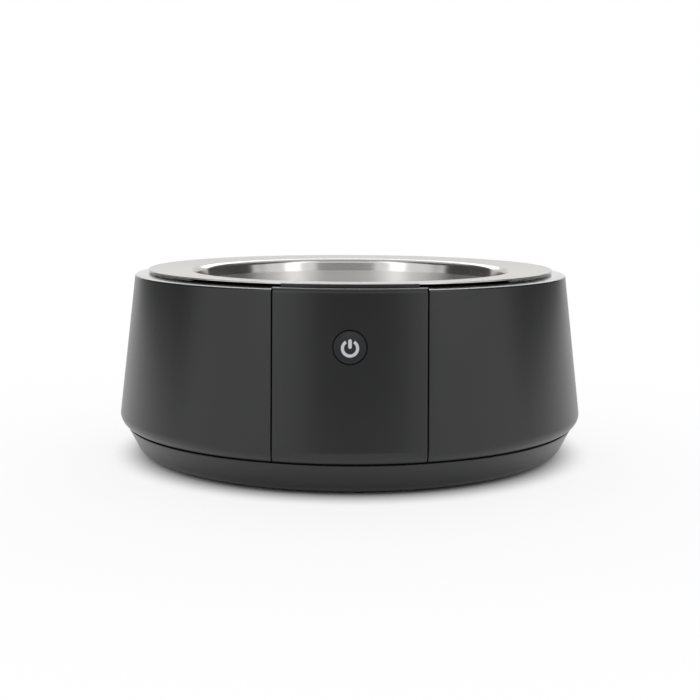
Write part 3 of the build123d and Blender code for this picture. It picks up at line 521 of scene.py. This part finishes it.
def colourSpread(tree, shader, mask, low, high):
    ramp = tree.nodes.new("ShaderNodeValToRGB")
    ramp.color_ramp.elements[0].position = 0.3
    ramp.color_ramp.elements[1].position = 0.7
    ramp.color_ramp.elements[0].color = (*low, 1.0)
    ramp.color_ramp.elements[1].color = (*high, 1.0)
    tree.links.new(mask, ramp.inputs["Fac"])
    tree.links.new(ramp.outputs["Color"], shader.inputs["Base Color"])


def byHeight(tree, level, low, high, below, above):
    # a value that changes from one to another between two heights in millimetres
    change = tree.nodes.new("ShaderNodeMapRange")
    limits = {"From Min": low * mm, "From Max": high * mm, "To Min": below, "To Max": above}
    for label, value in limits.items():
        change.inputs[label].default_value = value
    tree.links.new(level, change.inputs["Value"])
    return change.outputs["Result"]


def mouldedPlastic(name, colour, roughness, vary=0.05, depth=0.1, grain=2600.0, spread=0.06, ring=None,
                   **sockets):
    # grained plastic, where ring = (from height, to height, roughness, coat) makes the top glossier
    material, tree, shader, place = newMaterial(name, colour, **sockets)
    finish = tree.nodes.new("ShaderNodeGroup")
    finish.node_tree = mouldGrain
    for label, value in (("Grain", grain), ("Roughness", roughness), ("Vary", vary), ("Depth", depth)):
        finish.inputs[label].default_value = value
    if ring:
        split = tree.nodes.new("ShaderNodeSeparateXYZ")
        tree.links.new(place, split.inputs[0])
        level = split.outputs["Z"]
        gloss = byHeight(tree, level, ring[0], ring[1], roughness, ring[2])
        coat = byHeight(tree, level, ring[0], ring[1], 0.0, ring[3])
        tree.links.new(gloss, finish.inputs["Roughness"])
        tree.links.new(coat, shader.inputs["Coat Weight"])
        shader.inputs["Coat Roughness"].default_value = 0.15
    tree.links.new(place, finish.inputs["Place"])
    tree.links.new(finish.outputs["Roughness"], shader.inputs["Roughness"])
    tree.links.new(finish.outputs["Normal"], shader.inputs["Normal"])
    low = tuple(part * (1 - spread) for part in colour)
    high = tuple(min(1.0, part * (1 + spread)) for part in colour)
    colourSpread(tree, shader, finish.outputs["Cloud"], low, high)
    return material


def turnedMetal(name, colour, polished, satin, change, vary=0.05, depth=0.12, lines=5200.0, spread=0.03):
    # mirror-like above a height and satin below it, with the polishing rings running round
    material, tree, shader, place = newMaterial(
        name, colour, metallic=1.0, Anisotropic=0.6, Anisotropic_Rotation=0.25,
        Specular_Tint=(0.73, 0.725, 0.715, 1.0))
    tangent = tree.nodes.new("ShaderNodeTangent")
    tangent.direction_type = "RADIAL"
    tangent.axis = "Z"
    tree.links.new(tangent.outputs[0], shader.inputs["Tangent"])
    finish = tree.nodes.new("ShaderNodeGroup")
    finish.node_tree = turnedBrush
    for label, value in (("Lines", lines), ("Vary", vary), ("Depth", depth)):
        finish.inputs[label].default_value = value
    split = tree.nodes.new("ShaderNodeSeparateXYZ")
    tree.links.new(place, split.inputs[0])
    sheen = byHeight(tree, split.outputs["Z"], change[0], change[1], satin, polished)
    tree.links.new(sheen, finish.inputs["Roughness"])
    tree.links.new(place, finish.inputs["Place"])
    tree.links.new(finish.outputs["Roughness"], shader.inputs["Roughness"])
    tree.links.new(finish.outputs["Normal"], shader.inputs["Normal"])
    low = tuple(part * (1 - spread) for part in colour)
    high = tuple(min(1.0, part * (1 + spread)) for part in colour)
    colourSpread(tree, shader, finish.outputs["Streak"], low, high)
    return material


finishes = {
    "bowl_steel": turnedMetal("bowlSteel", (0.62, 0.61, 0.595), 0.18, 0.34, (76.2, 77.0)),
    "housing_plastic": mouldedPlastic("charcoalWall", (0.0145, 0.0148, 0.0155), 0.3,
                                      ring=(80.4, 80.9, 0.2, 0.8)),
    "panel_plastic": mouldedPlastic("charcoalPanel", (0.0135, 0.0138, 0.0145), 0.3),
    "button_plastic": mouldedPlastic("charcoalButton", (0.019, 0.0195, 0.023), 0.3, depth=0.05),
    "icon_plastic": mouldedPlastic("paleSymbol", (0.72, 0.73, 0.75), 0.35, depth=0.04, spread=0.02),
    "inner_plastic": mouldedPlastic("innerPlastic", (0.035, 0.036, 0.038), 0.5),
    "dark_rubber": mouldedPlastic("darkRubber", (0.012, 0.012, 0.0125), 0.75, depth=0.25, grain=1400.0),
    "soft_silicone": mouldedPlastic("softSilicone", (0.26, 0.27, 0.28), 0.55, depth=0.08, grain=1800.0),
    "screw_steel": mouldedPlastic("zincScrew", (0.55, 0.55, 0.56), 0.3, vary=0.12, depth=0.05, metallic=1.0),
    "cell_aluminium": mouldedPlastic("milledAluminium", (0.78, 0.79, 0.8), 0.33, vary=0.1, depth=0.1,
                                     metallic=1.0),
    "potting": mouldedPlastic("whitePotting", (0.78, 0.77, 0.73), 0.5, depth=0.05, grain=600.0),
    "board": mouldedPlastic("boardMask", (0.012, 0.09, 0.04), 0.25, depth=0.05, spread=0.15),
    "chip_plastic": mouldedPlastic("chipPlastic", (0.018, 0.018, 0.02), 0.5),
    "socket_plastic": mouldedPlastic("socketPlastic", (0.74, 0.71, 0.62), 0.45),
    "display_plastic": mouldedPlastic("displayPlastic", (0.012, 0.012, 0.014), 0.15, depth=0.02),
    "battery_sleeve": mouldedPlastic("batterySleeve", (0.08, 0.08, 0.09), 0.22, depth=0.03, spread=0.1),
    "contact_metal": mouldedPlastic("nickelContact", (0.7, 0.69, 0.65), 0.22, vary=0.1, depth=0.03,
                                    metallic=1.0),
    "cable_jacket": mouldedPlastic("cableJacket", (0.26, 0.26, 0.27), 0.55, depth=0.1),
    "wire_red": mouldedPlastic("redWire", (0.42, 0.02, 0.015), 0.45, depth=0.05),
    "wire_black": mouldedPlastic("blackWire", (0.02, 0.02, 0.022), 0.45, depth=0.05),
}
nodeSlot = {part["node"]: part["material_slot"] for part in frame["record"]["subparts"]}


def dress(piece, material):
    piece.data.materials.clear()
    piece.data.materials.append(material)


for node, piece in frame["nodes"].items():
    dress(piece, finishes[nodeSlot[node]])
for piece, slot in ((bowlPiece, "bowl_steel"), (housingPiece, "housing_plastic"),
                    (panelPiece, "panel_plastic"), (buttonPiece, "button_plastic"),
                    (iconPiece, "icon_plastic")):
    dress(piece, finishes[slot])
for node, piece in smoothPieces.items():
    dress(piece, finishes[slotOf[node]])
print("finishes given")

# White floor that keeps the shadow near the object and turns into the background further out
floorLook = {"size": 12.0, "plain": 0.82, "under": 0.089, "edge": 0.112, "held": 0.84, "far": 0.34}

deselectAll()
bpy.ops.mesh.primitive_plane_add(size=floorLook["size"], location=(0, 0, 0))
floor = bpy.context.object
floor.name = "floor"
floorMaterial, floorTree, floorShader, floorPlace = newMaterial("paleFloor", (floorLook["plain"],) * 3,
                                                                Roughness=0.9)
floorLight = floorTree.nodes.new("ShaderNodeEmission")
floorMix = floorTree.nodes.new("ShaderNodeMixShader")
lightPath = floorTree.nodes.new("ShaderNodeLightPath")
distance = floorTree.nodes.new("ShaderNodeVectorMath")
distance.operation = "LENGTH"
floorTree.links.new(floorPlace, distance.inputs[0])


def fade(begin, end, low, high):
    spread = floorTree.nodes.new("ShaderNodeMapRange")
    spread.interpolation_type = "SMOOTHSTEP"
    for label, value in (("From Min", begin), ("From Max", end), ("To Min", low), ("To Max", high)):
        spread.inputs[label].default_value = value
    floorTree.links.new(distance.outputs["Value"], spread.inputs["Value"])
    return spread.outputs["Result"]


spread = mathNode(floorTree, "MULTIPLY", fade(floorLook["under"], floorLook["edge"], 0.0, 1.0),
                  fade(floorLook["edge"], floorLook["far"], floorLook["held"], 1.0))
seen = mathNode(floorTree, "ADD", lightPath.outputs["Is Camera Ray"], lightPath.outputs["Is Glossy Ray"])
seen = mathNode(floorTree, "ADD", seen, lightPath.outputs["Is Transmission Ray"])
floorTree.links.new(mathNode(floorTree, "MULTIPLY", seen, spread), floorMix.inputs["Fac"])
floorTree.links.new(floorShader.outputs[0], floorMix.inputs[1])
floorTree.links.new(floorLight.outputs[0], floorMix.inputs[2])
floorSides = floorTree.nodes.new("ShaderNodeNewGeometry")
floorUnder = floorTree.nodes.new("ShaderNodeBsdfTransparent")  # clear from below, so the underside shows
sidesMix = floorTree.nodes.new("ShaderNodeMixShader")
floorTree.links.new(floorSides.outputs["Backfacing"], sidesMix.inputs["Fac"])
floorTree.links.new(floorMix.outputs[0], sidesMix.inputs[1])
floorTree.links.new(floorUnder.outputs[0], sidesMix.inputs[2])
floorTree.links.new(sidesMix.outputs[0], floorTree.nodes["Material Output"].inputs["Surface"])
dress(floor, floorMaterial)

# World: white where it is seen or mirrored, and softer where it only lights
worldLook = {"seen": 1.0, "light": 0.5}

world = bpy.data.worlds.new("studio")
bpy.context.scene.world = world
world.use_nodes = True
worldTree = world.node_tree
background = worldTree.nodes["Background"]
background.inputs["Color"].default_value = (1.0, 1.0, 1.0, 1.0)
worldPath = worldTree.nodes.new("ShaderNodeLightPath")
worldSeen = mathNode(worldTree, "ADD", worldPath.outputs["Is Camera Ray"], worldPath.outputs["Is Glossy Ray"])
worldSeen = mathNode(worldTree, "ADD", worldSeen, worldPath.outputs["Is Transmission Ray"])
worldSpan = mathNode(worldTree, "MULTIPLY", worldSeen, worldLook["seen"] - worldLook["light"])
worldTree.links.new(mathNode(worldTree, "ADD", worldSpan, worldLook["light"]), background.inputs["Strength"])


heart = Vector((0.0, 0.0, 0.06))


def bearing(side, up, far):
    # a place seen from the bowl: degrees round from the front to the right, degrees up, metres away
    side, up = math.radians(side), math.radians(up)
    return heart + far * Vector((math.sin(side) * math.cos(up), -math.cos(side) * math.cos(up), math.sin(up)))


def softLight(name, side, up, far, width, height, glow):
    # an even soft box that faces the bowl, with the brightness that a mirror would show
    light = bpy.data.lights.new(name, "AREA")
    light.shape = "RECTANGLE"
    light.size = width
    light.size_y = height
    light.energy = glow * math.pi * width * height
    holder = bpy.data.objects.new(name, light)
    holder.location = bearing(side, up, far)
    holder.rotation_euler = (heart - holder.location).to_track_quat("-Z", "Y").to_euler()
    holder.visible_camera = False
    bpy.context.scene.collection.objects.link(holder)
    return holder


def mirrorCard(name, side, up, far, width, height, shade):
    # a card that only mirrors see, as a studio hangs round polished metal
    deselectAll()
    bpy.ops.mesh.primitive_plane_add(size=1.0, location=(0, 0, 0))
    card = bpy.context.object
    card.name = name
    card.scale = (width, height, 1.0)
    card.location = bearing(side, up, far)
    card.rotation_euler = (heart - card.location).to_track_quat("Z", "Y").to_euler()
    card.visible_camera = False
    card.visible_diffuse = False
    card.visible_shadow = False
    material = bpy.data.materials.new(name)
    material.use_nodes = True
    nodes = material.node_tree.nodes
    nodes.remove(nodes["Principled BSDF"])
    glow = nodes.new("ShaderNodeEmission")
    glow.inputs["Color"].default_value = (shade, shade, shade, 1.0)
    material.node_tree.links.new(glow.outputs[0], nodes["Material Output"].inputs["Surface"])
    dress(card, material)
    return card


# side, up and far say where each stands, then its width, its height and how bright a mirror shows it
lamps = {
    "topLight": (180.0, 74.0, 1.25, 1.6, 1.0, 1.5),
    "leftLight": (-40.0, 38.0, 1.3, 0.32, 1.3, 1.05),
    "rightLight": (49.0, 38.0, 1.3, 0.32, 1.3, 1.05),
    "backLight": (180.0, 34.0, 1.5, 3.0, 0.75, 1.7),
}
cards = {
    "frontCard": (4.0, 6.0, 1.5, 1.3, 0.95, 0.23),
    "leftLowCard": (-112.0, 10.0, 1.4, 1.5, 0.55, 0.06),
    "rightLowCard": (115.0, 10.0, 1.4, 1.5, 0.55, 0.06),
    "leftCard": (-108.0, 40.0, 1.45, 2.1, 1.1, 0.11),
    "rightCard": (111.0, 40.0, 1.45, 2.1, 1.1, 0.11),
    "highCard": (180.0, 68.0, 1.2, 2.0, 0.8, 0.7),
    "ceilingCard": (0.0, 88.0, 1.7, 2.4, 2.2, 0.45),
}
for name, place in lamps.items():
    holder = softLight(name, *place)
    if name == "topLight":
        holder.visible_glossy = False  # the high card stands in for it in mirrors
for name, place in cards.items():
    mirrorCard(name, *place)
print("lights placed")
